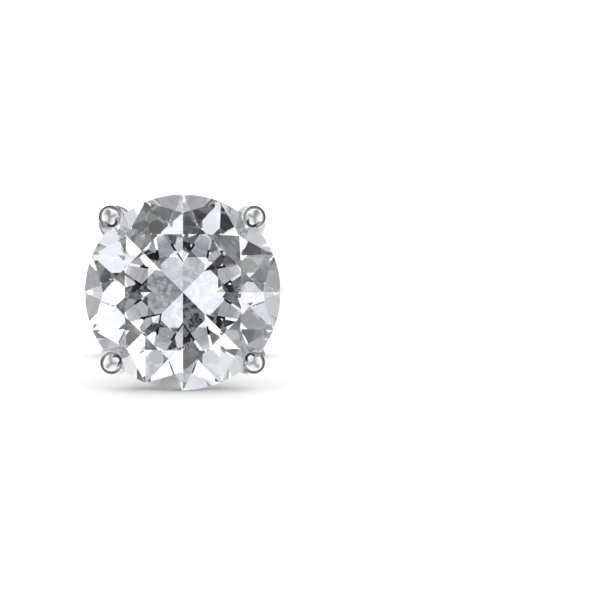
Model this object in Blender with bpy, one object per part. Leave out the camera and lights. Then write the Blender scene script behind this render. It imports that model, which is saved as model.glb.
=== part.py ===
"""A four-prong solitaire stud earring, lying on a table as it rests by itself.

The pieces are a round brilliant stone, a setting (four prongs, gallery rail, base cup and ear post,
soldered into one) and a butterfly ear back that slides on the post.

Everything is modelled in the stud's own frame: z = 0 is the middle of the stone's girdle, +Z is the
way the stone's table faces, +Y is up on the ear, and the post runs towards -Z. An empty then lays
the finished stud down on its girdle and ear back, with the table facing -Y and the bottom at z = 0.
"""

import math

import bmesh
import bpy
from mathutils import Matrix, Vector

MM = 0.001
MERGE = 0.005 * MM  # points of a cut that lie closer than this become one

# Stone: a round brilliant with its table towards +Z
STONE_DIAMETER = 6.5 * MM
TABLE_SHARE = 0.64  # width of the table from corner to corner, over the diameter
CROWN_ANGLE = math.radians(36.2)
PAVILION_ANGLE = math.radians(42.25)
STAR_SHARE = 0.54  # length of the star facets, from table edge to girdle
LOWER_HALF_SHARE = 0.67  # length of the lower girdle facets, from girdle to culet
GIRDLE_THICKNESS = 0.18 * MM
GIRDLE_SIDES = 96
MAIN_FACETS = 8

# Setting
SEAT_CLEARANCE = 0.04 * MM  # gap between the stone and the notches that hold it
BEAD_DIAMETER = 0.74 * MM  # rounded end of a prong, seen from the front
BEAD_HEIGHT = 0.4 * MM  # middle of that bead above the middle of the girdle
BEAD_OVERHANG = 0.145 * MM  # middle of that bead outside the stone's edge
BEAD_DOME = 0.34 * MM  # how far the bead's dome rises above its middle
CULET_CLEARANCE = 0.3 * MM  # from the stone's point to the cup
CUP_DIAMETER = 3.1 * MM
CUP_THICKNESS = 0.6 * MM
CUP_ROUNDING = 0.22 * MM
RAIL_WIRE = 0.56 * MM
RAIL_DEPTH = 1.45 * MM  # middle of the gallery rail below the middle of the girdle
RAIL_SIDES = 72
WIRE_SIDES = 14
PRONG_SIDES = 22
TURNED_SIDES = 40

# Each prong's direction from the stone's axis, and how its bead was bent when the stone was set:
# direction and turn in degrees, reach as a share of the bead's diameter, outwards
PRONGS = (
    # direction, turn, reach
    (135.0, -1.0, 0.12),
    (45.0, 1.5, 0.07),
    (225.0, -0.3, -0.09),
    (315.0, 0.3, -0.11),
)

# Sections of a prong from its foot in the cup to the middle of its bead. rise and reach are shares
# of the way from foot to bead, thick (across the stone's edge) and wide are in bead diameters
PRONG_SECTIONS = (
    # rise, reach, thick, wide
    (0.00, 0.00, 1.04, 1.06),
    (0.29, 0.32, 1.04, 1.10),
    (0.56, 0.64, 1.08, 1.26),
    (0.74, 0.84, 1.20, 1.58),
    (0.87, 0.94, 1.14, 1.44),
    (0.95, 0.985, 1.03, 1.13),
    (1.00, 1.00, 1.00, 1.00),
)
SECTION_STEPS = 3  # rings between two of these sections
DOME_RINGS = 5

# Ear post
POST_DIAMETER = 0.8 * MM
POST_LENGTH = 10.0 * MM  # from the back of the cup
POST_FILLET = 0.25 * MM  # solder fillet at its root
POST_TIP = 0.32 * MM  # length of its rounded end
GROOVE_WIDTH = 0.5 * MM
GROOVE_DEPTH = 0.08 * MM
GROOVE_FROM_TIP = 1.5 * MM

# Ear back: one strip whose two ends curl back to grip the post
LOBE_GAP = 5.3 * MM  # room for the ear between the cup and the ear back
BACK_SHEET = 0.3 * MM
BACK_HEIGHT = 4.2 * MM
BACK_CORNER = 1.1 * MM
CURL_RADIUS = 1.2 * MM  # middle of the sheet
CURL_TURN = math.radians(300)
CURL_STEPS = 22
POST_CLEARANCE = 0.05 * MM
MOUTH_DIAMETER = 1.5 * MM  # flared mouth of the hole, on the ear's side

METAL = ("white_gold", (0.80, 0.80, 0.81, 1.0), 0.12, 1.0)
GEM = ("colourless_stone", (0.97, 0.97, 0.98, 1.0), 0.0, 0.0)

STONE_RADIUS = STONE_DIAMETER / 2
SECTOR = 2 * math.pi / MAIN_FACETS
CULET_DEPTH = GIRDLE_THICKNESS / 2 + STONE_RADIUS * math.tan(PAVILION_ANGLE)
CUP_TOP = -(CULET_DEPTH + CULET_CLEARANCE)
CUP_BACK = CUP_TOP - CUP_THICKNESS
BACK_FRONT = CUP_BACK - LOBE_GAP
POST_RADIUS = POST_DIAMETER / 2
BEAD_RADIUS = BEAD_DIAMETER / 2
GRIP_RADIUS = POST_RADIUS + POST_CLEARANCE


def polar(radius, angle, z):
    return Vector((radius * math.cos(angle), radius * math.sin(angle), z))


def material(finish):
    name, colour, roughness, metallic = finish
    made = bpy.data.materials.get(name) or bpy.data.materials.new(name)
    made.use_nodes = True
    shader = made.node_tree.nodes["Principled BSDF"]
    shader.inputs["Base Color"].default_value = colour
    shader.inputs["Roughness"].default_value = roughness
    shader.inputs["Metallic"].default_value = metallic
    return made


def object_from(name, bm, finish):
    bmesh.ops.recalc_face_normals(bm, faces=bm.faces)
    mesh = bpy.data.meshes.new(name)
    bm.to_mesh(mesh)
    bm.free()
    mesh.materials.append(material(finish))
    made = bpy.data.objects.new(name, mesh)
    bpy.context.scene.collection.objects.link(made)
    return made


def helper(made):
    """A cutter, or a body that joins another: it shapes an object and isn't one itself."""
    made.hide_render = True
    made.display_type = "WIRE"
    return made


def combined(target, operation, *others):
    """The target after Boolean operations with the others, which are used up."""
    for other in others:
        boolean = target.modifiers.new(other.name, "BOOLEAN")
        boolean.operation = operation
        boolean.solver = "EXACT"
        boolean.object = other
    bpy.context.view_layer.update()
    graph = bpy.context.evaluated_depsgraph_get()
    mesh = bpy.data.meshes.new_from_object(target.evaluated_get(graph))
    target.modifiers.clear()
    bm = bmesh.new()
    bm.from_mesh(mesh)
    bmesh.ops.remove_doubles(bm, verts=bm.verts, dist=MERGE)
    bmesh.ops.dissolve_degenerate(bm, edges=bm.edges, dist=MERGE)
    bm.to_mesh(mesh)
    bm.free()
    target.data = mesh
    for other in others:
        bpy.data.objects.remove(other)
    return target


def shade(made, sharp_angle):
    made.data.shade_smooth()
    made.data.set_sharp_from_angle(angle=math.radians(sharp_angle))
    return made


def loft(name, rings, finish):
    """A closed body through rings with the same number of points. A ring of one point is a pole."""
    bm = bmesh.new()
    levels = [[bm.verts.new(point) for point in ring] for ring in rings]
    sides = max(len(level) for level in levels)
    for low, high in zip(levels, levels[1:]):
        for i in range(sides):
            j = (i + 1) % sides
            corners = [low[i % len(low)], low[j % len(low)], high[j % len(high)], high[i % len(high)]]
            bm.faces.new(list(dict.fromkeys(corners)))
    for end in (levels[0], levels[-1]):
        if len(end) > 1:
            bm.faces.new(end)
    return object_from(name, bm, finish)


def turned(name, profile, sides, finish):
    """A body turned about Z from (radius, z) points that run from the axis back to the axis."""
    rings = []
    for radius, z in profile:
        count = sides if radius else 1
        rings.append([polar(radius, 2 * math.pi * i / count, z) for i in range(count)])
    return loft(name, rings, finish)


def quarter(centre_radius, centre_z, radius, start, steps=5):
    """Points of a quarter circle in the (radius, z) plane, counting angles from +radius."""
    angles = (start + math.pi / 2 * i / steps for i in range(steps + 1))
    return [(centre_radius + radius * math.cos(a), centre_z + radius * math.sin(a)) for a in angles]


# The stone


def facet_planes():
    """(azimuth, angle, radius, z) of each facet: its normal leans that angle away from the axis, and
    the plane goes through that radius and height at the azimuth of its normal."""
    half_girdle = GIRDLE_THICKNESS / 2
    table_radius = TABLE_SHARE * STONE_RADIUS
    table_z = half_girdle + (STONE_RADIUS - table_radius) * math.tan(CROWN_ANGLE)
    across = math.cos(SECTOR / 2)
    table_edge = table_radius * across
    star_tip = table_edge + STAR_SHARE * (STONE_RADIUS - table_edge)
    star_drop = table_z - half_girdle - (STONE_RADIUS - star_tip * across) * math.tan(CROWN_ANGLE)
    star_angle = math.atan2(star_drop, star_tip - table_edge)
    beside = math.cos(SECTOR / 4)
    upper_rise = (STONE_RADIUS - star_tip * across) * math.tan(CROWN_ANGLE)
    upper_angle = math.atan2(upper_rise, (STONE_RADIUS - star_tip) * beside)
    lower_end = (1 - LOWER_HALF_SHARE) * STONE_RADIUS
    lower_fall = (STONE_RADIUS - lower_end * across) * math.tan(PAVILION_ANGLE)
    lower_angle = math.atan2(lower_fall, (STONE_RADIUS - lower_end) * beside)
    planes = [(0.0, 0.0, 0.0, table_z)]
    for i in range(MAIN_FACETS):
        main = (i + 0.5) * SECTOR
        planes.append((main, CROWN_ANGLE, STONE_RADIUS, half_girdle))
        planes.append((main, math.pi - PAVILION_ANGLE, STONE_RADIUS, -half_girdle))
        planes.append((main + SECTOR / 2, star_angle, table_edge, table_z))
        for side in (-1, 1):
            azimuth = main + side * SECTOR / 4
            planes.append((azimuth, upper_angle, STONE_RADIUS * beside, half_girdle))
            planes.append((azimuth, math.pi - lower_angle, STONE_RADIUS * beside, -half_girdle))
    return planes


def brilliant(name, grown, finish):
    """The stone, cut from a cylinder facet by facet. grown moves every facet out by that much."""
    rough_height = 2 * STONE_DIAMETER
    flat_radius = (STONE_RADIUS + grown) / math.cos(math.pi / GIRDLE_SIDES)
    bm = bmesh.new()
    bmesh.ops.create_cone(
        bm,
        cap_ends=True,
        segments=GIRDLE_SIDES,
        radius1=flat_radius,
        radius2=flat_radius,
        depth=rough_height,
    )
    half_side = Matrix.Rotation(math.pi / GIRDLE_SIDES, 3, "Z")
    bmesh.ops.rotate(bm, verts=bm.verts, matrix=half_side)
    for azimuth, angle, radius, z in facet_planes():
        normal = polar(math.sin(angle), azimuth, math.cos(angle))
        cut = bmesh.ops.bisect_plane(
            bm,
            geom=bm.verts[:] + bm.edges[:] + bm.faces[:],
            plane_co=polar(radius, azimuth, z) + normal * grown,
            plane_no=normal,
            clear_outer=True,
        )
        rim = [item for item in cut["geom_cut"] if isinstance(item, bmesh.types.BMEdge)]
        bmesh.ops.contextual_create(bm, geom=rim)
    bmesh.ops.remove_doubles(bm, verts=bm.verts, dist=STONE_DIAMETER * 1e-5)
    return object_from(name, bm, finish)


# The setting


def between(rows, steps):
    """Rows on the smooth curve through the given rows, with steps intervals between two of them."""
    made = []
    for i in range(len(rows) - 1):
        before = rows[max(i - 1, 0)]
        after = rows[min(i + 2, len(rows) - 1)]
        for step in range(steps):
            t = step / steps
            row = []
            for p, a, b, q in zip(before, rows[i], rows[i + 1], after):
                slope_a, slope_b = (b - p) / 2, (q - a) / 2
                rest = b - a
                row.append(
                    a
                    + slope_a * t
                    + (3 * rest - 2 * slope_a - slope_b) * t**2
                    + (slope_a + slope_b - 2 * rest) * t**3
                )
            made.append(row)
    made.append(list(rows[-1]))
    return made


def prong_ring(direction, centre, z, thick, wide):
    """A level oval of points, thick along the direction and wide across it."""
    along = polar(1, direction, 0)
    across = polar(1, direction + math.pi / 2, 0)
    angles = (2 * math.pi * i / PRONG_SIDES for i in range(PRONG_SIDES))
    middle = Vector((centre.x, centre.y, z))
    return [
        middle + along * thick / 2 * math.cos(a) + across * wide / 2 * math.sin(a) for a in angles
    ]


def prong(name, direction_deg, turn_deg, reach_share):
    direction = math.radians(direction_deg)
    foot_z = CUP_BACK + CUP_ROUNDING
    foot = polar(CUP_DIAMETER / 2 - BEAD_RADIUS * 0.75, direction, 0)
    bead_reach = STONE_RADIUS + BEAD_OVERHANG + reach_share * BEAD_DIAMETER
    bead = polar(bead_reach, direction + math.radians(turn_deg), 0)
    rings = []
    for rise, reach, thick, wide in between(PRONG_SECTIONS, SECTION_STEPS):
        z = foot_z + rise * (BEAD_HEIGHT - foot_z)
        centre = foot.lerp(bead, reach)
        rings.append(
            prong_ring(direction, centre, z, thick * BEAD_DIAMETER, wide * BEAD_DIAMETER)
        )
    for i in range(1, DOME_RINGS):
        t = math.pi / 2 * i / DOME_RINGS
        size = BEAD_DIAMETER * math.cos(t)
        rings.append(prong_ring(direction, bead, BEAD_HEIGHT + BEAD_DOME * math.sin(t), size, size))
    rings.append([Vector((bead.x, bead.y, BEAD_HEIGHT + BEAD_DOME))])
    return helper(loft(name, rings, METAL))


def rail_radius():
    """Where the middle of the prongs is at the rail's height, so that the rail runs through them."""
    foot_z = CUP_BACK + CUP_ROUNDING
    foot_radius = CUP_DIAMETER / 2 - BEAD_RADIUS * 0.75
    wanted = (-RAIL_DEPTH - foot_z) / (BEAD_HEIGHT - foot_z)
    rows = between(PRONG_SECTIONS, SECTION_STEPS)
    for low, high in zip(rows, rows[1:]):
        if low[0] <= wanted <= high[0]:
            part = (wanted - low[0]) / (high[0] - low[0])
            reach = low[1] + part * (high[1] - low[1])
    return foot_radius + reach * (STONE_RADIUS + BEAD_OVERHANG - foot_radius)


def gallery_rail():
    """The ring of wire that ties the prongs together below the girdle."""
    bm = bmesh.new()
    middle = rail_radius()
    rings = []
    for i in range(RAIL_SIDES):
        azimuth = 2 * math.pi * i / RAIL_SIDES
        ring = []
        for k in range(WIRE_SIDES):
            t = 2 * math.pi * k / WIRE_SIDES
            out = middle + RAIL_WIRE / 2 * math.cos(t)
            ring.append(bm.verts.new(polar(out, azimuth, -RAIL_DEPTH + RAIL_WIRE / 2 * math.sin(t))))
        rings.append(ring)
    for i in range(RAIL_SIDES):
        here, there = rings[i], rings[(i + 1) % RAIL_SIDES]
        for k in range(WIRE_SIDES):
            m = (k + 1) % WIRE_SIDES
            bm.faces.new([here[k], here[m], there[m], there[k]])
    return helper(object_from("gallery_rail", bm, METAL))


def cup_and_post():
    """The round base below the stone's point, with the ear post and its solder fillet."""
    cup_radius = CUP_DIAMETER / 2
    rim = cup_radius - CUP_ROUNDING
    tip_z = CUP_BACK - POST_LENGTH
    groove_z = tip_z + GROOVE_FROM_TIP
    profile = [(0.0, CUP_TOP)]
    profile += quarter(rim, CUP_TOP - CUP_ROUNDING, CUP_ROUNDING, 0)[::-1]
    profile += quarter(rim, CUP_BACK + CUP_ROUNDING, CUP_ROUNDING, -math.pi / 2)[::-1]
    fillet = quarter(POST_RADIUS + POST_FILLET, CUP_BACK - POST_FILLET, POST_FILLET, math.pi / 2)
    profile += fillet
    for share, depth in ((1.0, 0.0), (0.6, 1.0), (-0.6, 1.0), (-1.0, 0.0)):
        profile.append((POST_RADIUS - depth * GROOVE_DEPTH, groove_z + share * GROOVE_WIDTH / 2))
    for i in range(DOME_RINGS + 1):
        t = math.pi / 2 * i / DOME_RINGS
        profile.append((POST_RADIUS * math.cos(t), tip_z + POST_TIP * (1 - math.sin(t))))
    profile[-1] = (0.0, tip_z)
    return turned("setting", profile, TURNED_SIDES, METAL)


def setting():
    made = cup_and_post()
    prongs = [prong(f"prong_{i + 1}", *row) for i, row in enumerate(PRONGS)]
    combined(made, "UNION", gallery_rail(), *prongs)
    combined(made, "DIFFERENCE", helper(brilliant("seat", SEAT_CLEARANCE, METAL)))
    return shade(made, 40)


# The ear back


def strip_path():
    """The middle line of the strip, from the end of one curl to the end of the other, as (x, z)."""
    curl_x = GRIP_RADIUS + BACK_SHEET / 2 + CURL_RADIUS
    front = BACK_FRONT - BACK_SHEET / 2
    half = []
    for i in range(CURL_STEPS + 1):
        turn = CURL_TURN * i / CURL_STEPS
        x = curl_x + CURL_RADIUS * math.sin(turn)
        z = front - CURL_RADIUS * (1 - math.cos(turn))
        half.append((x, z))
    return [(-x, z) for x, z in reversed(half)] + half


def strip_outline():
    """The strip's outline: its middle line moved half a sheet to one side and then the other."""
    path = [Vector(point) for point in strip_path()]
    left, right = [], []
    for i, point in enumerate(path):
        along = path[min(i + 1, len(path) - 1)] - path[max(i - 1, 0)]
        aside = Vector((-along.y, along.x)).normalized() * BACK_SHEET / 2
        left.append(point + aside)
        right.append(point - aside)
    return left + right[::-1]


def rounded_block(name, width, height, corner, z_low, z_high):
    """A block along Z with rounded corners, to trim the strip's ends to a soft outline."""
    bm = bmesh.new()
    steps = 6
    outline = []
    for side_x, side_y, start in ((1, 1, 0), (-1, 1, 1), (-1, -1, 2), (1, -1, 3)):
        for i in range(steps + 1):
            a = (start + i / steps) * math.pi / 2
            x = side_x * (width / 2 - corner) + corner * math.cos(a)
            y = side_y * (height / 2 - corner) + corner * math.sin(a)
            outline.append((x, y))
    floor = bm.faces.new([bm.verts.new((x, y, z_low)) for x, y in outline])
    raised = bmesh.ops.extrude_face_region(bm, geom=[floor])
    lifted = [item for item in raised["geom"] if isinstance(item, bmesh.types.BMVert)]
    bmesh.ops.translate(bm, verts=lifted, vec=(0, 0, z_high - z_low))
    return helper(object_from(name, bm, METAL))


def ear_back():
    bm = bmesh.new()
    outline = strip_outline()
    side = bm.faces.new([bm.verts.new((p.x, -BACK_HEIGHT / 2, p.y)) for p in outline])
    raised = bmesh.ops.extrude_face_region(bm, geom=[side])
    lifted = [item for item in raised["geom"] if isinstance(item, bmesh.types.BMVert)]
    bmesh.ops.translate(bm, verts=lifted, vec=(0, BACK_HEIGHT, 0))
    made = object_from("ear_back", bm, METAL)
    width = 2 * max(p.x for p in outline)
    depth = 2 * CURL_RADIUS + BACK_SHEET
    trim = rounded_block(
        "trim",
        width,
        BACK_HEIGHT,
        BACK_CORNER,
        BACK_FRONT - depth - BACK_SHEET,
        BACK_FRONT + BACK_SHEET,
    )
    mouth_radius = MOUTH_DIAMETER / 2
    hole = turned(
        "hole",
        [
            (0.0, BACK_FRONT + BACK_SHEET),
            (mouth_radius, BACK_FRONT + BACK_SHEET),
            (mouth_radius, BACK_FRONT),
            (GRIP_RADIUS, BACK_FRONT - BACK_SHEET * 0.7),
            (GRIP_RADIUS, BACK_FRONT - BACK_SHEET * 1.5),
            (0.0, BACK_FRONT - BACK_SHEET * 1.5),
        ],
        TURNED_SIDES,
        METAL,
    )
    combined(made, "INTERSECT", trim)
    combined(made, "DIFFERENCE", helper(hole))
    return shade(made, 35)


# Laying the stud down


def resting_tilt(points):
    """How far the post dips when the stud lies on a table: it turns on the lowest point of the head
    until something behind that meets the table."""
    lowest = min(p.y for p in points)
    pivot = min(p.z for p in points if p.y - lowest < 1e-3 * MM)
    behind = (p for p in points if p.z < pivot - 1e-3 * MM)
    return min(math.atan2(p.y - lowest, pivot - p.z) for p in behind)


def lay_down(pieces):
    points = [v.co.copy() for piece in pieces for v in piece.data.vertices]
    stud = bpy.data.objects.new("stud", None)
    bpy.context.scene.collection.objects.link(stud)
    stud.rotation_euler.x = math.pi / 2 - resting_tilt(points)
    turned_points = [stud.rotation_euler.to_matrix() @ p for p in points]
    low = Vector([min(p[i] for p in turned_points) for i in range(3)])
    high = Vector([max(p[i] for p in turned_points) for i in range(3)])
    stud.location = (-(low.x + high.x) / 2, -(low.y + high.y) / 2, -low.z)
    for piece in pieces:
        piece.parent = stud


def main():
    for old in list(bpy.data.objects):
        bpy.data.objects.remove(old)
    stone = brilliant("stone", 0.0, GEM)
    lay_down([stone, setting(), ear_back()])


main()
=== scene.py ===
"""Looks of the solitaire stud: the cut stone, the polished setting and ear back, and a white studio."""

import math

import bmesh
import bpy
from mathutils import Matrix, Vector


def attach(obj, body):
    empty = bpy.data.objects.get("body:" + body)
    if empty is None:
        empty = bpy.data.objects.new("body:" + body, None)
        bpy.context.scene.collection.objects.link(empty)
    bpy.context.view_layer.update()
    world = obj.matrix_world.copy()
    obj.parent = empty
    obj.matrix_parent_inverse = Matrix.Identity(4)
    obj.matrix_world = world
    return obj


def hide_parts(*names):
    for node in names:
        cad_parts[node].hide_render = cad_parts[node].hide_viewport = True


MM = 0.001

# Sizes, as in the CAD
STONE_DIAMETER = 6.5 * MM
TABLE_SHARE = 0.64
CROWN_ANGLE = math.radians(36.2)
PAVILION_ANGLE = math.radians(42.25)
STAR_SHARE = 0.54
LOWER_HALF_SHARE = 0.67
GIRDLE_THICKNESS = 0.18 * MM
GIRDLE_SIDES = 96
MAIN_FACETS = 8
SEAT_CLEARANCE = 0.04 * MM
BEAD_DIAMETER = 0.74 * MM
BEAD_HEIGHT = 0.4 * MM
BEAD_OVERHANG = 0.145 * MM
BEAD_DOME = 0.34 * MM
CULET_CLEARANCE = 0.3 * MM
CUP_DIAMETER = 3.1 * MM
CUP_THICKNESS = 0.6 * MM
CUP_ROUNDING = 0.22 * MM
RAIL_WIRE = 0.56 * MM
RAIL_DEPTH = 1.45 * MM
POST_DIAMETER = 0.8 * MM
POST_LENGTH = 10.0 * MM
POST_FILLET = 0.25 * MM
POST_TIP = 0.32 * MM
GROOVE_WIDTH = 0.5 * MM
GROOVE_DEPTH = 0.08 * MM
GROOVE_FROM_TIP = 1.5 * MM
LOBE_GAP = 5.3 * MM
BACK_SHEET = 0.3 * MM
BACK_HEIGHT = 4.2 * MM
BACK_CORNER = 1.1 * MM
CURL_RADIUS = 1.2 * MM
CURL_TURN = math.radians(300)
POST_CLEARANCE = 0.05 * MM
MOUTH_DIAMETER = 1.5 * MM

PRONGS = (
    # direction, turn, reach
    (135.0, -1.0, 0.12),
    (45.0, 1.5, 0.07),
    (225.0, -0.3, -0.09),
    (315.0, 0.3, -0.11),
)
PRONG_SECTIONS = (
    # rise, reach, thick, wide
    (0.00, 0.00, 1.04, 1.06),
    (0.29, 0.32, 1.04, 1.10),
    (0.56, 0.64, 1.08, 1.26),
    (0.74, 0.84, 1.20, 1.58),
    (0.87, 0.94, 1.14, 1.44),
    (0.95, 0.985, 1.03, 1.13),
    (1.00, 1.00, 1.00, 1.00),
)

STONE_RADIUS = STONE_DIAMETER / 2
SECTOR = 2 * math.pi / MAIN_FACETS
CULET_DEPTH = GIRDLE_THICKNESS / 2 + STONE_RADIUS * math.tan(PAVILION_ANGLE)
CUP_TOP = -(CULET_DEPTH + CULET_CLEARANCE)
CUP_BACK = CUP_TOP - CUP_THICKNESS
BACK_FRONT = CUP_BACK - LOBE_GAP
POST_RADIUS = POST_DIAMETER / 2
BEAD_RADIUS = BEAD_DIAMETER / 2
GRIP_RADIUS = POST_RADIUS + POST_CLEARANCE
FOOT_RADIUS = CUP_DIAMETER / 2 - BEAD_RADIUS * 0.75  # from the axis to the middle of a prong's foot
FOOT_Z = CUP_BACK + CUP_ROUNDING
SHARP_EDGE = math.radians(50)  # faces that meet at more than this aren't shaded as one
TABLE_TOP_HALF_SIZE = 0.9

# The photograph's frame is 600 pixels square; the stone's middle and radius there
FRAME_PIXELS = 600
STONE_PIXEL = (182.9, 292.3)
STONE_PIXEL_RADIUS = 97.75
CAMERA_DISTANCE = 200 * MM
SENSOR = 36.0
LIGHT_BOUNCES = 16
FACE_BOUNCES = 14

# The light. The camera and the table see plain white. What the stone's facets pick up is a room of
# grey and white areas with cards over it, all faintly tinted, and what polished faces mirror is a plain
# room with softer cards. A card's place is given as seen from the stone: towards is anticlockwise from
# the camera's right, off_axis is from the stone's axis, both in degrees, and shade is its brightness.
# A later card lies over the earlier ones
TABLE_LIGHT = 1.38
ROOM_AREAS = (
    # from, brightness
    (0.0, 0.03),
    (0.19, 0.45),
    (0.36, 1.05),
    (0.6, 1.55),
)
ROOM_TINTS = (
    # from, colour
    (0.0, (0.96, 0.98, 1.04)),
    (0.7, (1.00, 1.00, 1.02)),
    (0.9, (1.02, 1.00, 0.97)),
)
ROOM_SCALE = 6.5
ROOM_SEED = 15
CARD_EDGE = math.radians(1.5)
CARDS = (
    # towards, off_axis, half_width, shade
    (15, 9, 15, 0.01),
    (112, 11, 4, 0.05),
    (80, 18, 7, 0.02),
    (-90, 18, 4, 0.05),
    (135, 18, 4, 0.40),
    (-170, 16, 5, 0.90),
    (-160, 11, 4, 1.20),
    (-157, 28, 4, 1.25),
    (67, 28, 4, 1.15),
    (-23, 28, 4, 0.32),
    (-113, 28, 4, 0.65),
    (-68, 28, 4, 0.87),
    (113, 28, 4, 0.05),
    (23, 28, 4, 0.40),
    (157, 28, 4, 1.25),
    (0, 38, 7, 0.05),
    (63, 35, 6, 0.03),
    (39, 38, 6, 0.03),
    (51, 39, 3, 0.25),
    (92, 39, 4, 0.03),
    (137, 38, 7, 0.10),
    (-52, 36, 3, 0.08),
    (-173, 36, 5, 1.25),
    (-68, 73, 8, 0.05),
    (162, 70, 9, 0.04),
    (68, 73, 8, 0.30),
    (92, 73, 8, 0.08),
    (45, 62, 13, 0.04),
    (135, 61, 10, 0.08),
    (-135, 62, 13, 0.08),
    (-45, 60, 8, 0.25),
    (6, 67, 10, 0.05),
    (-42, 143, 15, 0.04),
)
MIRRORED_ROOM = 1.2
MIRRORED_EDGE = math.radians(10)
MIRRORED_CARDS = (
    # towards, off_axis, half_width, shade
    (0, 0, 92, 0.35),
    (60, 88, 9, 1.20),
    (-23, 88, 9, 1.20),
    (-155, 88, 9, 1.20),
    (125, 92, 7, 1.00),
    (0, 0, 62, 1.20),
    (0, 0, 41, 0.42),
    (0, 0, 4, 0.02),
    (68, 73, 7, 0.10),
    (158, 73, 7, 0.10),
    (22, 73, 7, 0.30),
    (112, 73, 7, 0.50),
    (90, 42, 3, 0.30),
    (0, 180, 58, 0.75),
    (0, 180, 30, 0.95),
    (0, 120, 12, 0.38),
    (180, 120, 12, 0.38),
    (90, 128, 10, 0.45),
    (-90, 118, 12, 0.20),
    (45, 150, 10, 0.25),
    (-135, 150, 10, 0.25),
)


def polar(radius, angle, z):
    return Vector((radius * math.cos(angle), radius * math.sin(angle), z))


def mesh_object(name, bm, material):
    bmesh.ops.recalc_face_normals(bm, faces=bm.faces)
    mesh = bpy.data.meshes.new(name)
    bm.to_mesh(mesh)
    bm.free()
    mesh.materials.append(material)
    made = bpy.data.objects.new(name, mesh)
    bpy.context.scene.collection.objects.link(made)
    return made


def apply_modifiers(target):
    bpy.context.view_layer.update()
    graph = bpy.context.evaluated_depsgraph_get()
    mesh = bpy.data.meshes.new_from_object(target.evaluated_get(graph))
    target.modifiers.clear()
    target.data = mesh


def combined(target, operation, *others):
    for other in others:
        boolean = target.modifiers.new(other.name, "BOOLEAN")
        boolean.operation = operation
        boolean.solver = "EXACT"
        boolean.object = other
    apply_modifiers(target)
    for other in others:
        bpy.data.objects.remove(other)


def smooth_faces(made):
    made.data.shade_smooth()
    made.data.set_sharp_from_angle(angle=SHARP_EDGE)


def extruded(name, outline, along, material):
    """A flat outline drawn out along a vector."""
    bm = bmesh.new()
    side = bm.faces.new([bm.verts.new(point) for point in outline])
    raised = bmesh.ops.extrude_face_region(bm, geom=[side])
    lifted = [item for item in raised["geom"] if isinstance(item, bmesh.types.BMVert)]
    bmesh.ops.translate(bm, verts=lifted, vec=along)
    return mesh_object(name, bm, material)


def loft(name, rings, material):
    bm = bmesh.new()
    levels = [[bm.verts.new(point) for point in ring] for ring in rings]
    sides = max(len(level) for level in levels)
    for low, high in zip(levels, levels[1:]):
        for i in range(sides):
            j = (i + 1) % sides
            corners = [low[i % len(low)], low[j % len(low)], high[j % len(high)], high[i % len(high)]]
            bm.faces.new(list(dict.fromkeys(corners)))
    for end in (levels[0], levels[-1]):
        if len(end) > 1:
            bm.faces.new(end)
    return mesh_object(name, bm, material)


def turned(name, profile, sides, material):
    rings = []
    for radius, z in profile:
        count = sides if radius else 1
        rings.append([polar(radius, 2 * math.pi * i / count, z) for i in range(count)])
    return loft(name, rings, material)


def quarter(centre_radius, centre_z, radius, start, steps=10):
    angles = (start + math.pi / 2 * i / steps for i in range(steps + 1))
    return [(centre_radius + radius * math.cos(a), centre_z + radius * math.sin(a)) for a in angles]


# Materials


def new_material(name):
    made = bpy.data.materials.new(name)
    made.use_nodes = True
    return made, made.node_tree.nodes, made.node_tree.links


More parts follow.
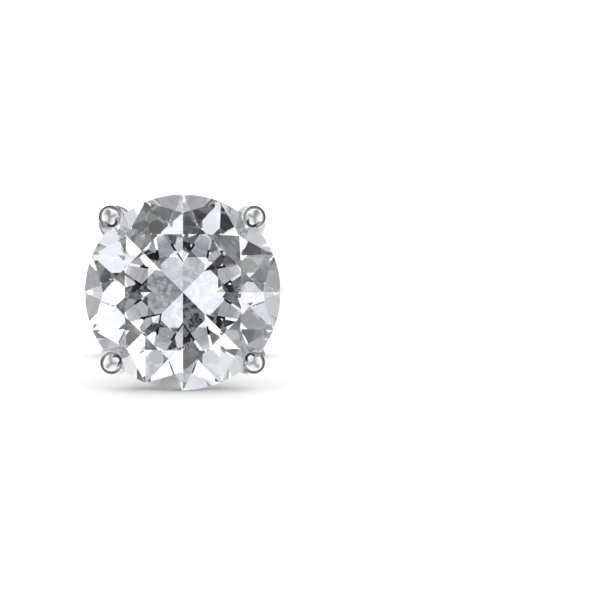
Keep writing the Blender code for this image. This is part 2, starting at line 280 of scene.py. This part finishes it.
def polished_metal():
    """Rhodium-plated white gold: a mirror finish with hair-fine polishing lines and soft waves, and
    near-black painted shade in the beads' grooves and under their pads' steps.
    """
    made, nodes, links = new_material("polished_white_gold")
    shader = nodes["Principled BSDF"]
    shader.inputs["Metallic"].default_value = 1.0
    where = nodes.new("ShaderNodeTexCoord")
    tint = nodes.new("ShaderNodeTexNoise")
    tint.inputs["Scale"].default_value = 900
    tint.inputs["Detail"].default_value = 3
    links.new(where.outputs["Object"], tint.inputs["Vector"])
    colours = nodes.new("ShaderNodeValToRGB")
    colours.color_ramp.elements[0].position = 0.3
    colours.color_ramp.elements[0].color = (0.84, 0.84, 0.86, 1)
    colours.color_ramp.elements[1].position = 0.7
    colours.color_ramp.elements[1].color = (0.90, 0.90, 0.90, 1)
    links.new(tint.outputs["Fac"], colours.inputs["Fac"])
    # painted shade: near-black paint in the beads' grooves and under their pads' steps, in place of their
    # shade and dark reflections
    painted_shade_field = nodes.new("ShaderNodeAttribute")
    painted_shade_field.attribute_name = "painted_shade"
    with_painted_shade = nodes.new("ShaderNodeMix")
    with_painted_shade.data_type = "RGBA"
    with_painted_shade.inputs[7].default_value = (0.03, 0.03, 0.035, 1)
    links.new(painted_shade_field.outputs["Fac"], with_painted_shade.inputs[0])
    links.new(colours.outputs["Color"], with_painted_shade.inputs[6])
    unpolished = nodes.new("ShaderNodeAttribute")
    unpolished.attribute_name = "unpolished"
    whitened = nodes.new("ShaderNodeMix")
    whitened.data_type = "RGBA"
    whitened.inputs[7].default_value = (0.98, 0.98, 1, 1)
    links.new(unpolished.outputs["Fac"], whitened.inputs[0])
    links.new(with_painted_shade.outputs[2], whitened.inputs[6])
    links.new(whitened.outputs[2], shader.inputs["Base Color"])
    stretch = nodes.new("ShaderNodeMapping")
    stretch.inputs["Scale"].default_value = (14000, 14000, 1600)
    links.new(where.outputs["Object"], stretch.inputs["Vector"])
    lines = nodes.new("ShaderNodeTexNoise")
    lines.inputs["Scale"].default_value = 1
    lines.inputs["Detail"].default_value = 4
    links.new(stretch.outputs["Vector"], lines.inputs["Vector"])
    rough = nodes.new("ShaderNodeMapRange")
    rough.inputs["To Min"].default_value = 0.03
    rough.inputs["To Max"].default_value = 0.11
    links.new(lines.outputs["Fac"], rough.inputs["Value"])
    roughness = nodes.new("ShaderNodeMath")
    roughness.operation = "MULTIPLY_ADD"
    roughness.inputs[1].default_value = UNPOLISHED_ROUGHNESS
    links.new(unpolished.outputs["Fac"], roughness.inputs[0])
    links.new(rough.outputs["Result"], roughness.inputs[2])
    links.new(roughness.outputs["Value"], shader.inputs["Roughness"])
    waves = nodes.new("ShaderNodeTexNoise")
    waves.inputs["Scale"].default_value = 1500
    waves.inputs["Detail"].default_value = 1
    links.new(where.outputs["Object"], waves.inputs["Vector"])
    wavy = nodes.new("ShaderNodeBump")
    wavy.inputs["Strength"].default_value = 0.08
    wavy.inputs["Distance"].default_value = 0.00002
    links.new(waves.outputs["Fac"], wavy.inputs["Height"])
    fine = nodes.new("ShaderNodeBump")
    fine.inputs["Strength"].default_value = 0.05
    fine.inputs["Distance"].default_value = 0.000004
    links.new(lines.outputs["Fac"], fine.inputs["Height"])
    links.new(wavy.outputs["Normal"], fine.inputs["Normal"])
    links.new(fine.outputs["Normal"], shader.inputs["Normal"])
    return made


def cut_stone():
    """Clear, strongly refracting stone, with the faintest clouds and polishing lines."""
    made, nodes, links = new_material("brilliant_cut_stone")
    shader = nodes["Principled BSDF"]
    shader.inputs["IOR"].default_value = 2.417
    shader.inputs["Transmission Weight"].default_value = 1
    where = nodes.new("ShaderNodeTexCoord")
    clouds = nodes.new("ShaderNodeTexNoise")
    clouds.inputs["Scale"].default_value = 600
    links.new(where.outputs["Object"], clouds.inputs["Vector"])
    colours = nodes.new("ShaderNodeValToRGB")
    colours.color_ramp.elements[0].color = (0.975, 0.985, 1, 1)
    colours.color_ramp.elements[1].color = (1, 1, 1, 1)
    links.new(clouds.outputs["Fac"], colours.inputs["Fac"])
    links.new(colours.outputs["Color"], shader.inputs["Base Color"])
    stretch = nodes.new("ShaderNodeMapping")
    stretch.inputs["Scale"].default_value = (20000, 2000, 2000)
    links.new(where.outputs["Object"], stretch.inputs["Vector"])
    lines = nodes.new("ShaderNodeTexNoise")
    lines.inputs["Scale"].default_value = 1
    links.new(stretch.outputs["Vector"], lines.inputs["Vector"])
    rough = nodes.new("ShaderNodeMapRange")
    rough.inputs["To Min"].default_value = 0
    rough.inputs["To Max"].default_value = 0.01
    links.new(lines.outputs["Fac"], rough.inputs["Value"])
    links.new(rough.outputs["Result"], shader.inputs["Roughness"])
    return made


def white_table():
    made, nodes, links = new_material("white_table")
    shader = nodes["Principled BSDF"]
    shader.inputs["Roughness"].default_value = 0.6
    shader.inputs["Specular IOR Level"].default_value = 0.2
    grain = nodes.new("ShaderNodeTexNoise")
    grain.inputs["Scale"].default_value = 400
    shade = nodes.new("ShaderNodeValToRGB")
    shade.color_ramp.elements[0].color = (0.93, 0.93, 0.93, 1)
    shade.color_ramp.elements[1].color = (0.95, 0.95, 0.95, 1)
    links.new(grain.outputs["Fac"], shade.inputs["Fac"])
    links.new(shade.outputs["Color"], shader.inputs["Base Color"])
    return made


# The stone


def facet_planes():
    half_girdle = GIRDLE_THICKNESS / 2
    table_radius = TABLE_SHARE * STONE_RADIUS
    table_z = half_girdle + (STONE_RADIUS - table_radius) * math.tan(CROWN_ANGLE)
    across = math.cos(SECTOR / 2)
    table_edge = table_radius * across
    star_tip = table_edge + STAR_SHARE * (STONE_RADIUS - table_edge)
    star_drop = table_z - half_girdle - (STONE_RADIUS - star_tip * across) * math.tan(CROWN_ANGLE)
    star_angle = math.atan2(star_drop, star_tip - table_edge)
    beside = math.cos(SECTOR / 4)
    upper_rise = (STONE_RADIUS - star_tip * across) * math.tan(CROWN_ANGLE)
    upper_angle = math.atan2(upper_rise, (STONE_RADIUS - star_tip) * beside)
    lower_end = (1 - LOWER_HALF_SHARE) * STONE_RADIUS
    lower_fall = (STONE_RADIUS - lower_end * across) * math.tan(PAVILION_ANGLE)
    lower_angle = math.atan2(lower_fall, (STONE_RADIUS - lower_end) * beside)
    planes = [(0.0, 0.0, 0.0, table_z)]
    for i in range(MAIN_FACETS):
        main = (i + 0.5) * SECTOR
        planes.append((main, CROWN_ANGLE, STONE_RADIUS, half_girdle))
        planes.append((main, math.pi - PAVILION_ANGLE, STONE_RADIUS, -half_girdle))
        planes.append((main + SECTOR / 2, star_angle, table_edge, table_z))
        for side in (-1, 1):
            azimuth = main + side * SECTOR / 4
            planes.append((azimuth, upper_angle, STONE_RADIUS * beside, half_girdle))
            planes.append((azimuth, math.pi - lower_angle, STONE_RADIUS * beside, -half_girdle))
    return planes


def brilliant(name, grown, material):
    flat_radius = (STONE_RADIUS + grown) / math.cos(math.pi / GIRDLE_SIDES)
    bm = bmesh.new()
    bmesh.ops.create_cone(
        bm,
        cap_ends=True,
        segments=GIRDLE_SIDES,
        radius1=flat_radius,
        radius2=flat_radius,
        depth=2 * STONE_DIAMETER,
    )
    half_side = Matrix.Rotation(math.pi / GIRDLE_SIDES, 3, "Z")
    bmesh.ops.rotate(bm, verts=bm.verts, matrix=half_side)
    for azimuth, angle, radius, z in facet_planes():
        normal = polar(math.sin(angle), azimuth, math.cos(angle))
        cut = bmesh.ops.bisect_plane(
            bm,
            geom=bm.verts[:] + bm.edges[:] + bm.faces[:],
            plane_co=polar(radius, azimuth, z) + normal * grown,
            plane_no=normal,
            clear_outer=True,
        )
        rim = [item for item in cut["geom_cut"] if isinstance(item, bmesh.types.BMEdge)]
        bmesh.ops.contextual_create(bm, geom=rim)
    bmesh.ops.remove_doubles(bm, verts=bm.verts, dist=STONE_DIAMETER * 1e-5)
    return mesh_object(name, bm, material)


# The setting


def between(rows, steps):
    """The rows with smooth in-between rows, as a curve through them."""
    made = []
    for i in range(len(rows) - 1):
        before = rows[max(i - 1, 0)]
        after = rows[min(i + 2, len(rows) - 1)]
        for step in range(steps):
            t = step / steps
            row = []
            for p, a, b, q in zip(before, rows[i], rows[i + 1], after):
                slope_a, slope_b = (b - p) / 2, (q - a) / 2
                rest = b - a
                row.append(
                    a
                    + slope_a * t
                    + (3 * rest - 2 * slope_a - slope_b) * t**2
                    + (slope_a + slope_b - 2 * rest) * t**3
                )
            made.append(row)
    made.append(list(rows[-1]))
    return made


PRONG_SIDES = 64
SECTION_STEPS = 9
DOME_RINGS = 30
LIP = 0.035 * MM  # the little step that the rounding tool leaves round a bead
LIP_STEPS = 5
DOME_INSET = 1.25 * LIP  # the dome starts in the groove, a little lower than the lip's top
DOME_LIFT = 0.45 * LIP

# A bead's top: three soft faces that meet in the middle. The one towards the stone is a round pad
# with a small step at its far side, where the metal was pushed down on the stone
FACE_SLOPE = 0.42
FACE_TURNS = (math.radians(62), math.radians(180), math.radians(298))
FACE_CRISPNESS = 3.5
RIM_POWER = 8.0
PAD_PLACE = 0.47  # the pad's middle and radius, as shares of the bead's radius
PAD_RADIUS = 0.38
PAD_TURNS = (-25.0, 22.0, -15.0, -9.0)  # for each prong, from the way to the stone's middle
PAD_STEP = 0.06 * MM
STEP_HALF_TURN = math.radians(95)
GROOVE_PLACE = 0.92
GROOVE_HALF_WIDTH = 0.12
APEX_ROUNDING = 0.12
# Painted shade on the beads: a dark ring painted in the groove round each bead and a dark mark under its
# pad's step
STEP_PAINTED_SHADE_PLACE = 0.06
STEP_PAINTED_SHADE_WIDTH = 0.26
GROOVE_PAINTED_SHADE_LEAST = 0.32  # the painted shade in the groove is darkest on the side away from the stone
GROOVE_PAINTED_SHADE_RISE = 0.55

# Solder fillets, and the inside of the basket, which a polishing wheel doesn't reach
CREASE_ANGLE = math.radians(28)
FILLET_REACH = 0.16 * MM
FILLET_ROUNDS = 8
UNPOLISHED_EDGE = 0.3 * MM
UNPOLISHED_ROUGHNESS = 0.35


def smooth(value):
    value = max(0.0, min(1.0, value))
    return value * value * (3 - 2 * value)


def from_pad(share, turn, pad_turn):
    """How far out from the pad's edge a point of a bead is, and how much it is on the far side."""
    aside = math.pi + pad_turn
    place = polar(share, turn, 0) - polar(PAD_PLACE, aside, 0)
    away = abs(math.remainder(math.atan2(place.y, place.x) - aside, 2 * math.pi))
    return place.length / PAD_RADIUS - 1, smooth((STEP_HALF_TURN - away) / math.radians(40) + 0.5)


def bead_top(share, turn, pad_turn):
    """Height of a bead over its rim, at a share of its radius and a turn from the outward direction."""
    faces = sum(math.exp(FACE_CRISPNESS * math.cos(turn - face)) for face in FACE_TURNS)
    steepness = FACE_SLOPE * math.log(faces) / FACE_CRISPNESS
    radius = BEAD_RADIUS - DOME_INSET
    height = BEAD_DOME - DOME_LIFT
    out, far = from_pad(share, turn, pad_turn)
    _, far_at_rim = from_pad(1.0, turn, pad_turn)
    step = PAD_STEP * far * smooth(out / 0.25)
    inward = math.hypot(share, APEX_ROUNDING) - APEX_ROUNDING
    rim = height - steepness * radius - PAD_STEP * far_at_rim
    rounded = 1 - (1 - share**RIM_POWER) ** (1 / RIM_POWER)
    return max(0.0, height - steepness * radius * inward - rim * rounded - step)


def painted_shade(share, turn, pad_turn):
    """Painted shade on a bead, in place of its shade and dark reflections: how dark a point is painted,
    in the groove round it and under the pad's step.
    """
    groove = smooth(1.5 - abs(share - GROOVE_PLACE) / GROOVE_HALF_WIDTH)
    groove *= GROOVE_PAINTED_SHADE_LEAST + GROOVE_PAINTED_SHADE_RISE * smooth(0.5 + 0.9 * math.cos(turn))
    out, far = from_pad(share, turn, pad_turn)
    step = far * smooth(1.6 - abs(out - STEP_PAINTED_SHADE_PLACE) / STEP_PAINTED_SHADE_WIDTH)
    return max(groove, step if share < 1 else 0)


def prong_ring(direction, centre, z, thick, wide):
    along = polar(1, direction, 0)
    across = polar(1, direction + math.pi / 2, 0)
    angles = (2 * math.pi * i / PRONG_SIDES for i in range(PRONG_SIDES))
    middle = Vector((centre.x, centre.y, z))
    return [
        middle + along * thick / 2 * math.cos(a) + across * wide / 2 * math.sin(a) for a in angles
    ]


def bead_middle(direction_deg, turn_deg, reach_share):
    reach = STONE_RADIUS + BEAD_OVERHANG + reach_share * BEAD_DIAMETER
    return polar(reach, math.radians(direction_deg + turn_deg), 0)


def prong(name, material, direction_deg, turn_deg, reach_share, pad_turn_deg):
    direction = math.radians(direction_deg)
    foot = polar(FOOT_RADIUS, direction, 0)
    bead = bead_middle(direction_deg, turn_deg, reach_share)
    rings = []
    for rise, reach, thick, wide in between(PRONG_SECTIONS, SECTION_STEPS):
        z = FOOT_Z + rise * (BEAD_HEIGHT - FOOT_Z)
        centre = foot.lerp(bead, reach)
        rings.append(
            prong_ring(direction, centre, z, thick * BEAD_DIAMETER, wide * BEAD_DIAMETER)
        )
    # the top edge is rounded over, then a fine groove, then the dome
    for i in range(1, LIP_STEPS + 1):
        t = math.pi / 2 * i / LIP_STEPS
        size = BEAD_DIAMETER - 2 * LIP * (1 - math.cos(t))
        rings.append(prong_ring(direction, bead, BEAD_HEIGHT + LIP * math.sin(t), size, size))
    dome_radius = BEAD_RADIUS - DOME_INSET
    dome_low = BEAD_HEIGHT + DOME_LIFT
    low = 2 * dome_radius + 0.2 * LIP
    rings.append(prong_ring(direction, bead, dome_low, low, low))
    shares = [math.sin(math.pi / 2 * (1 - i / DOME_RINGS)) for i in range(1, DOME_RINGS)]
    for share in shares:
        ring = prong_ring(direction, bead, dome_low, 2 * dome_radius * share, 2 * dome_radius * share)
        for i, point in enumerate(ring):
            point.z += bead_top(share, 2 * math.pi * i / PRONG_SIDES, math.radians(pad_turn_deg))
        rings.append(ring)
    rings.append([Vector((bead.x, bead.y, BEAD_HEIGHT + BEAD_DOME))])
    return loft(name, rings, material)


def rail_radius():
    """How far from the axis the prongs' middles are at the rail's height."""
    wanted = (-RAIL_DEPTH - FOOT_Z) / (BEAD_HEIGHT - FOOT_Z)
    rows = between(PRONG_SECTIONS, SECTION_STEPS)
    for low, high in zip(rows, rows[1:]):
        if low[0] <= wanted <= high[0]:
            part = (wanted - low[0]) / (high[0] - low[0])
            reach = low[1] + part * (high[1] - low[1])
    return FOOT_RADIUS + reach * (STONE_RADIUS + BEAD_OVERHANG - FOOT_RADIUS)


def gallery_rail(material, sides=180, wire_sides=28):
    bm = bmesh.new()
    middle = rail_radius()
    rings = []
    for i in range(sides):
        azimuth = 2 * math.pi * i / sides
        ring = []
        for k in range(wire_sides):
            t = 2 * math.pi * k / wire_sides
            out = middle + RAIL_WIRE / 2 * math.cos(t)
            ring.append(bm.verts.new(polar(out, azimuth, -RAIL_DEPTH + RAIL_WIRE / 2 * math.sin(t))))
        rings.append(ring)
    for i in range(sides):
        here, there = rings[i], rings[(i + 1) % sides]
        for k in range(wire_sides):
            m = (k + 1) % wire_sides
            bm.faces.new([here[k], here[m], there[m], there[k]])
    return mesh_object("gallery_rail", bm, material)


def refined(profile, spacing):
    """More points along a profile, so that no two are further apart than the spacing."""
    made = [profile[0]]
    for (r0, z0), (r1, z1) in zip(profile, profile[1:]):
        count = max(1, math.ceil(math.hypot(r1 - r0, z1 - z0) / spacing))
        made += [(r0 + (r1 - r0) * i / count, z0 + (z1 - z0) * i / count) for i in range(1, count + 1)]
    return made


def cup_and_post(material):
    cup_radius = CUP_DIAMETER / 2
    rim = cup_radius - CUP_ROUNDING
    tip_z = CUP_BACK - POST_LENGTH
    groove_z = tip_z + GROOVE_FROM_TIP
    profile = quarter(rim, CUP_TOP - CUP_ROUNDING, CUP_ROUNDING, 0)[::-1]
    profile += quarter(rim, CUP_BACK + CUP_ROUNDING, CUP_ROUNDING, -math.pi / 2)[::-1]
    profile += quarter(POST_RADIUS + POST_FILLET, CUP_BACK - POST_FILLET, POST_FILLET, math.pi / 2)
    for i in range(13):
        along = 1 - i / 6
        depth = 0.5 + 0.5 * math.cos(math.pi * max(-1, min(1, along * 1.05)))
        profile.append((POST_RADIUS - depth * GROOVE_DEPTH, groove_z + along * GROOVE_WIDTH / 2))
    for i in range(10):
        t = math.pi / 2 * i / 10
        profile.append((POST_RADIUS * math.cos(t), tip_z + POST_TIP * (1 - math.sin(t))))
    profile = [(rim * i / 14, CUP_TOP) for i in range(14)] + refined(profile, 0.09 * MM)
    profile.append((0.0, tip_z))
    return turned("setting_polished", profile, 72, material)


def ease_creases(made, reach, rounds):
    """Solder fillets: the points near the inward creases below the girdle are relaxed."""
    bm = bmesh.new()
    bm.from_mesh(made.data)
    bmesh.ops.remove_doubles(bm, verts=bm.verts, dist=0.004 * MM)
    bmesh.ops.triangulate(bm, faces=bm.faces)
    creases = set()
    for edge in bm.edges:
        below = max(vert.co.z for vert in edge.verts) < -GIRDLE_THICKNESS
        if below and len(edge.link_faces) == 2 and edge.calc_face_angle_signed(0) < -CREASE_ANGLE:
            creases.update(edge.verts)
    near = set(creases)
    front = {vert: 0.0 for vert in creases}
    while front:
        following = {}
        for vert, gone in front.items():
            for edge in vert.link_edges:
                other = edge.other_vert(vert)
                distance = gone + edge.calc_length()
                if other not in near and distance < reach:
                    following[other] = min(distance, following.get(other, reach))
        near.update(following)
        front = following
    eased = [vert for vert in bm.verts if vert in near]
    for _ in range(rounds):
        bmesh.ops.smooth_vert(
            bm, verts=eased, factor=0.5, use_axis_x=True, use_axis_y=True, use_axis_z=True
        )
    bm.to_mesh(made.data)
    bm.free()


def setting(material):
    made = cup_and_post(material)
    prongs = [prong(f"prong_{i + 1}", material, *row, PAD_TURNS[i]) for i, row in enumerate(PRONGS)]
    combined(made, "UNION", gallery_rail(material), *prongs)
    ease_creases(made, FILLET_REACH, FILLET_ROUNDS)
    combined(made, "DIFFERENCE", brilliant("seat", SEAT_CLEARANCE, material))
    # painted shade: each bead's groove and the metal under its pad's step are painted dark, in place of
    # their shade and dark reflections
    painted_shade_field = made.data.attributes.new("painted_shade", "FLOAT", "POINT")
    for row, pad_turn in zip(PRONGS, PAD_TURNS):
        middle = bead_middle(*row)
        for vert in made.data.vertices:
            place = vert.co - middle
            share = math.hypot(place.x, place.y) / BEAD_RADIUS
            if share < 1.2 and vert.co.z > BEAD_HEIGHT + 0.3 * LIP:
                turn = math.atan2(place.y, place.x) - math.radians(row[0])
                painted_shade_field.data[vert.index].value = painted_shade(share, turn, math.radians(pad_turn))
    unpolished = made.data.attributes.new("unpolished", "FLOAT", "POINT")
    for vert in made.data.vertices:
        if FOOT_Z < vert.co.z < -GIRDLE_THICKNESS:
            inside = smooth((STONE_RADIUS - vert.co.xy.length) / UNPOLISHED_EDGE + 0.5)
            unpolished.data[vert.index].value = inside
    smooth_faces(made)
    return made


# The ear back


def strip_outline(steps):
    curl_x = GRIP_RADIUS + BACK_SHEET / 2 + CURL_RADIUS
    front = BACK_FRONT - BACK_SHEET / 2
    half = []
    for i in range(steps + 1):
        turn = CURL_TURN * i / steps
        half.append((curl_x + CURL_RADIUS * math.sin(turn), front - CURL_RADIUS * (1 - math.cos(turn))))
    path = [Vector((-x, z)) for x, z in reversed(half)] + [Vector(point) for point in half]
    left, right = [], []
    for i, point in enumerate(path):
        along = path[min(i + 1, len(path) - 1)] - path[max(i - 1, 0)]
        aside = Vector((-along.y, along.x)).normalized() * BACK_SHEET / 2
        left.append(point + aside)
        right.append(point - aside)
    return left + right[::-1]


def rounded_block(name, width, height, corner, z_low, z_high, material):
    steps = 12
    outline = []
    for side_x, side_y, start in ((1, 1, 0), (-1, 1, 1), (-1, -1, 2), (1, -1, 3)):
        for i in range(steps + 1):
            a = (start + i / steps) * math.pi / 2
            x = side_x * (width / 2 - corner) + corner * math.cos(a)
            y = side_y * (height / 2 - corner) + corner * math.sin(a)
            outline.append((x, y, z_low))
    return extruded(name, outline, (0, 0, z_high - z_low), material)


def ear_back(material):
    outline = [(p.x, -BACK_HEIGHT / 2, p.y) for p in strip_outline(44)]
    made = extruded("ear_back_polished", outline, (0, BACK_HEIGHT, 0), material)
    width = 2 * max(x for x, _, _ in outline)
    depth = 2 * CURL_RADIUS + BACK_SHEET
    trim = rounded_block(
        "trim",
        width,
        BACK_HEIGHT,
        BACK_CORNER,
        BACK_FRONT - depth - BACK_SHEET,
        BACK_FRONT + BACK_SHEET,
        material,
    )
    mouth = MOUTH_DIAMETER / 2
    hole = turned(
        "hole",
        [
            (0.0, BACK_FRONT + BACK_SHEET),
            (mouth, BACK_FRONT + BACK_SHEET),
            (mouth, BACK_FRONT),
            (GRIP_RADIUS, BACK_FRONT - BACK_SHEET * 0.7),
            (GRIP_RADIUS, BACK_FRONT - BACK_SHEET * 1.5),
            (0.0, BACK_FRONT - BACK_SHEET * 1.5),
        ],
        64,
        material,
    )
    combined(made, "INTERSECT", trim)
    combined(made, "DIFFERENCE", hole)
    bm = bmesh.new()
    bm.from_mesh(made.data)
    bmesh.ops.remove_doubles(bm, verts=bm.verts, dist=0.006 * MM)
    bm.to_mesh(made.data)
    bm.free()
    edges = made.modifiers.new("worn_edges", "BEVEL")
    edges.width = 0.05 * MM
    edges.segments = 3
    edges.limit_method = "ANGLE"
    edges.angle_limit = math.radians(40)
    apply_modifiers(made)
    smooth_faces(made)
    return made


# Where the stud lies


def stud_matrix():
    """From the stud's own frame to the table's. The CAD stone's largest flat is its table."""
    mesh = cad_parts["stone"].data
    areas = {}
    for face in mesh.polygons:
        key = tuple(round(v, 3) for v in face.normal)
        areas.setdefault(key, []).append(face)
    table = max(areas.values(), key=lambda faces: sum(face.area for face in faces))
    corners = {tuple(round(v, 7) for v in mesh.vertices[i].co) for face in table for i in face.vertices}
    middle = sum((Vector(corner) for corner in corners), Vector()) / len(corners)
    axis = table[0].normal.normalized()
    right = Vector((1, 0, 0))
    up = axis.cross(right).normalized()
    height = GIRDLE_THICKNESS / 2 + STONE_RADIUS * (1 - TABLE_SHARE) * math.tan(CROWN_ANGLE)
    placed = Matrix((right, up, axis)).transposed().to_4x4()
    placed.translation = middle - axis * height
    return placed


# The studio


def with_cards(world, placed, colour, cards, edge):
    """The cards laid over the colour of the room, each with a soft edge."""
    nodes, links = world.node_tree.nodes, world.node_tree.links
    where = nodes.new("ShaderNodeTexCoord")
    for towards, off_axis, half_width, shade in cards:
        tilt, turn, size = math.radians(off_axis), math.radians(towards), math.radians(half_width)
        facing = nodes.new("ShaderNodeVectorMath")
        facing.operation = "DOT_PRODUCT"
        facing.inputs[1].default_value = placed.to_3x3() @ polar(math.sin(tilt), turn, math.cos(tilt))
        links.new(where.outputs["Generated"], facing.inputs[0])
        inside = nodes.new("ShaderNodeMapRange")
        inside.interpolation_type = "SMOOTHSTEP"
        inside.inputs["From Min"].default_value = math.cos(size + edge)
        inside.inputs["From Max"].default_value = math.cos(size - edge)
        links.new(facing.outputs["Value"], inside.inputs["Value"])
        card = nodes.new("ShaderNodeMix")
        card.data_type = "RGBA"
        card.inputs[7].default_value = (shade, shade, shade, 1)
        links.new(inside.outputs["Result"], card.inputs[0])
        links.new(colour, card.inputs[6])
        colour = card.outputs[2]
    return colour


def stepped_ramp(nodes, rows):
    """A ramp with flat steps, from rows of where a step starts and its colour."""
    ramp = nodes.new("ShaderNodeValToRGB")
    ramp.color_ramp.interpolation = "CONSTANT"
    while len(ramp.color_ramp.elements) < len(rows):
        ramp.color_ramp.elements.new(0.5)
    for element, (start, colour) in zip(ramp.color_ramp.elements, rows):
        element.position = start
        element.color = (*colour, 1)
    return ramp


def room_colour(world, placed):
    """What the stone's facets pick up: the room's areas, the cards over them and the tints."""
    nodes, links = world.node_tree.nodes, world.node_tree.links
    where = nodes.new("ShaderNodeTexCoord")
    areas = nodes.new("ShaderNodeMapping")
    areas.inputs["Scale"].default_value = (ROOM_SCALE, ROOM_SCALE, ROOM_SCALE)
    areas.inputs["Location"].default_value = (10 * ROOM_SEED, 0, 0)
    links.new(where.outputs["Generated"], areas.inputs["Vector"])
    cells = nodes.new("ShaderNodeTexVoronoi")
    cells.inputs["Scale"].default_value = 1
    links.new(areas.outputs["Vector"], cells.inputs["Vector"])
    split = nodes.new("ShaderNodeSeparateColor")
    links.new(cells.outputs["Color"], split.inputs["Color"])
    brightest = max(brightness for _, brightness in ROOM_AREAS)
    shares = [(start, [brightness / brightest] * 3) for start, brightness in ROOM_AREAS]
    shades = stepped_ramp(nodes, shares)
    links.new(split.outputs["Red"], shades.inputs["Fac"])
    lit = nodes.new("ShaderNodeVectorMath")
    lit.operation = "SCALE"
    lit.inputs["Scale"].default_value = brightest
    links.new(shades.outputs["Color"], lit.inputs[0])
    tints = stepped_ramp(nodes, ROOM_TINTS)
    links.new(split.outputs["Green"], tints.inputs["Fac"])
    tinted = nodes.new("ShaderNodeMix")
    tinted.data_type = "RGBA"
    tinted.blend_type = "MULTIPLY"
    tinted.inputs[0].default_value = 1
    links.new(with_cards(world, placed, lit.outputs["Vector"], CARDS, CARD_EDGE), tinted.inputs[6])
    links.new(tints.outputs["Color"], tinted.inputs[7])
    return tinted.outputs[2]


def studio_light(placed):
    """One background for each kind of ray: the camera's and the table's, refracted, and mirrored."""
    world = bpy.data.worlds.new("studio")
    bpy.context.scene.world = world
    world.cycles.sampling_method = "NONE"
    world.use_nodes = True
    nodes, links = world.node_tree.nodes, world.node_tree.links

    through = nodes["Background"]
    links.new(room_colour(world, placed), through.inputs["Color"])
    plain = nodes.new("ShaderNodeRGB")
    plain.outputs[0].default_value = (MIRRORED_ROOM, MIRRORED_ROOM, MIRRORED_ROOM, 1)
    mirrored = nodes.new("ShaderNodeBackground")
    colour = with_cards(world, placed, plain.outputs[0], MIRRORED_CARDS, MIRRORED_EDGE)
    links.new(colour, mirrored.inputs["Color"])
    on_table = nodes.new("ShaderNodeBackground")
    on_table.inputs["Color"].default_value = (1, 1, 1, 1)
    on_table.inputs["Strength"].default_value = TABLE_LIGHT

    rays = nodes.new("ShaderNodeLightPath")
    of_faces = nodes.new("ShaderNodeMixShader")
    links.new(rays.outputs["Is Transmission Ray"], of_faces.inputs["Fac"])
    links.new(mirrored.outputs["Background"], of_faces.inputs[1])
    links.new(through.outputs["Background"], of_faces.inputs[2])
    plainly = nodes.new("ShaderNodeMath")
    plainly.operation = "MAXIMUM"
    links.new(rays.outputs["Is Camera Ray"], plainly.inputs[0])
    links.new(rays.outputs["Is Diffuse Ray"], plainly.inputs[1])
    pick = nodes.new("ShaderNodeMixShader")
    links.new(plainly.outputs["Value"], pick.inputs["Fac"])
    links.new(of_faces.outputs["Shader"], pick.inputs[1])
    links.new(on_table.outputs["Background"], pick.inputs[2])
    links.new(pick.outputs["Shader"], nodes["World Output"].inputs["Surface"])


def table_top():
    """The stone's refracted rays and mirrored rays pass through the table to the room below it."""
    bm = bmesh.new()
    bmesh.ops.create_grid(bm, x_segments=8, y_segments=8, size=TABLE_TOP_HALF_SIZE)
    floor = mesh_object("table_top", bm, white_table())
    floor.visible_transmission = False
    floor.visible_glossy = False


def camera(placed):
    """On the stone's axis, turned a little so that the stone stands where the photograph has it."""
    data = bpy.data.cameras.new("camera")
    data.sensor_width = SENSOR
    pixel = STONE_RADIUS / STONE_PIXEL_RADIUS
    data.lens = SENSOR * CAMERA_DISTANCE / (pixel * FRAME_PIXELS)
    focal_pixels = data.lens / SENSOR * FRAME_PIXELS
    data.clip_start = 1 * MM
    data.clip_end = 5
    made = bpy.data.objects.new("camera", data)
    bpy.context.scene.collection.objects.link(made)
    axis = (placed.to_3x3() @ Vector((0, 0, 1))).normalized()
    made.location = placed.translation + axis * CAMERA_DISTANCE
    aside = math.atan((FRAME_PIXELS / 2 - STONE_PIXEL[0]) / focal_pixels)
    above = math.atan((FRAME_PIXELS / 2 - STONE_PIXEL[1]) / focal_pixels)
    face_on = (-axis).to_track_quat("-Z", "Y").to_matrix()
    turn = Matrix.Rotation(-aside, 3, "Y") @ Matrix.Rotation(-above, 3, "X")
    made.rotation_euler = (face_on @ turn).to_euler()
    bpy.context.scene.camera = made


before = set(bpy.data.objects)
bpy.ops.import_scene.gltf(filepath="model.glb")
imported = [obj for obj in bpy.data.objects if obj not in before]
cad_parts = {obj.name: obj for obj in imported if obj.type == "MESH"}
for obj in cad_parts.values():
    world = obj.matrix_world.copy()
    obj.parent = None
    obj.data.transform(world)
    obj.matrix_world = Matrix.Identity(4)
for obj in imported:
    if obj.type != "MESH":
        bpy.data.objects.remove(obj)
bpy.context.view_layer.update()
placed = stud_matrix()
metal = polished_metal()
pieces = (
    (brilliant("stone_cut", 0.0, cut_stone()), "stone", "stone"),
    (setting(metal), "setting", "white_metal"),
    (ear_back(metal), "ear_back", "white_metal"),
)
for piece, node, slot in pieces:
    piece.data.transform(placed)
    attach(piece, "root")
    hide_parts(node)
studio_light(placed)
table_top()
camera(placed)
bpy.context.scene.view_settings.view_transform = "Standard"
bpy.context.scene.cycles.max_bounces = LIGHT_BOUNCES
bpy.context.scene.cycles.glossy_bounces = FACE_BOUNCES
bpy.context.scene.cycles.transmission_bounces = FACE_BOUNCES
